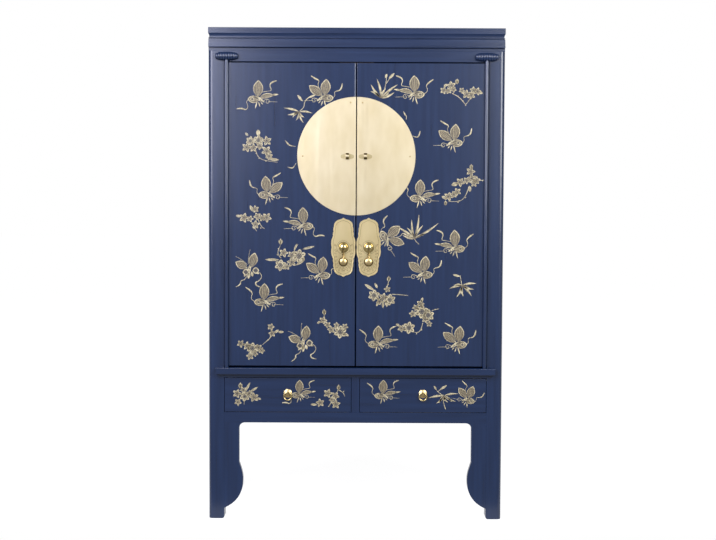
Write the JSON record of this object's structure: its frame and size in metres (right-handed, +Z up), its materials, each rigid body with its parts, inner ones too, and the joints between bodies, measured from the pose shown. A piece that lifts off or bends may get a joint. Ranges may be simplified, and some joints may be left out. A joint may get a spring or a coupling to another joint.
{
  "type": "chinese wedding cabinet",
  "caption": "Tall lacquered wedding cabinet on shaped legs: pole-hinged doors with a split round brass plate and hanging drop pulls, above drawers with ring pulls.",
  "frame": {"origin": "on the floor, under the middle of the cabinet's bounding box", "axes": "+X to the viewer's right, +Y to the back of the cabinet, +Z up; the doors face -Y"},
  "size_m": [1.05, 0.5432, 1.75],
  "materials": {
    "lacquered_wood": "midnight-blue satin lacquer over hardwood, brushed on and rubbed",
    "bare_wood": "dark stained inside timber, thinly sealed",
    "brass": "pale brass sheet and castings, finely brushed and polished",
    "gold_paint": "butterflies and blossoms painted in gold and cream over the lacquer"
  },
  "bodies": {
    "carcase": {"back_panel": "bare_wood", "crown_back_board": "bare_wood", "crown_cap": "lacquered_wood", "crown_front_moulding": "lacquered_wood", "crown_side_mouldings": "lacquered_wood", "door_ledge": "lacquered_wood", "door_stop": "bare_wood", "drawer_divider": "lacquered_wood", "drawer_runners": "bare_wood", "floor_board": "bare_wood", "floor_rails": "bare_wood", "front_bottom_rail": "lacquered_wood", "front_top_rail": "lacquered_wood", "left_front_post": "lacquered_wood", "left_leg_bracket": "lacquered_wood", "left_pivot_boss": "lacquered_wood", "left_rear_post": "lacquered_wood", "left_side_panel": "lacquered_wood", "rear_bottom_rail": "lacquered_wood", "rear_top_rail": "lacquered_wood", "right_front_post": "lacquered_wood", "right_leg_bracket": "lacquered_wood", "right_pivot_boss": "lacquered_wood", "right_rear_post": "lacquered_wood", "right_side_panel": "lacquered_wood", "shelf_bearers": "bare_wood", "shelves": "bare_wood", "side_bottom_rails": "lacquered_wood", "side_top_rails": "lacquered_wood", "top_board": "lacquered_wood"},
    "left_door": {"left_disc_half": "brass", "left_disc_nails": "brass", "left_door_panel": "lacquered_wood", "left_door_pole": "lacquered_wood", "left_lock_staple": "brass", "left_pull_knob": "brass", "left_pull_pin": "brass", "left_pull_plate": "brass"},
    "right_door": {"right_disc_half": "brass", "right_disc_nails": "brass", "right_door_panel": "lacquered_wood", "right_door_pole": "lacquered_wood", "right_lock_staple": "brass", "right_pull_knob": "brass", "right_pull_pin": "brass", "right_pull_plate": "brass"},
    "left_drawer": {"left_drawer_back": "bare_wood", "left_drawer_bottom": "bare_wood", "left_drawer_front": "lacquered_wood", "left_drawer_rosette": "brass", "left_drawer_sides": "bare_wood"},
    "right_drawer": {"right_drawer_back": "bare_wood", "right_drawer_bottom": "bare_wood", "right_drawer_front": "lacquered_wood", "right_drawer_rosette": "brass", "right_drawer_sides": "bare_wood"},
    "left_drop": {"left_pull_drop": "brass"},
    "right_drop": {"right_pull_drop": "brass"},
    "left_ring": {"left_drawer_ring": "brass"},
    "right_ring": {"right_drawer_ring": "brass"}
  },
  "joints": [
    {"name": "left_door_hinge", "type": "hinge", "parent": "carcase", "child": "left_door", "pos_m": [-0.459, -0.2569, 1.089], "axis": [0, 0, -1], "range_deg": [0, 170]},
    {"name": "right_door_hinge", "type": "hinge", "parent": "carcase", "child": "right_door", "pos_m": [0.459, -0.2569, 1.089], "axis": [0, 0, 1], "range_deg": [0, 170]},
    {"name": "left_drawer_slide", "type": "slide", "parent": "carcase", "child": "left_drawer", "axis": [0, -1, 0], "range_m": [0, 0.3]},
    {"name": "right_drawer_slide", "type": "slide", "parent": "carcase", "child": "right_drawer", "axis": [0, -1, 0], "range_m": [0, 0.3]},
    {"name": "left_drop_swing", "type": "hinge", "parent": "left_door", "child": "left_drop", "pos_m": [-0.045, -0.2619, 0.9694], "axis": [-1, 0, 0], "range_deg": [0, 80]},
    {"name": "right_drop_swing", "type": "hinge", "parent": "right_door", "child": "right_drop", "pos_m": [0.045, -0.2619, 0.9694], "axis": [-1, 0, 0], "range_deg": [0, 80]},
    {"name": "left_ring_swing", "type": "hinge", "parent": "left_drawer", "child": "left_ring", "pos_m": [-0.2415, -0.2564, 0.457], "axis": [-1, 0, 0], "range_deg": [0, 110]},
    {"name": "right_ring_swing", "type": "hinge", "parent": "right_drawer", "child": "right_ring", "pos_m": [0.2415, -0.2564, 0.457], "axis": [-1, 0, 0], "range_deg": [0, 110]}
  ]
}
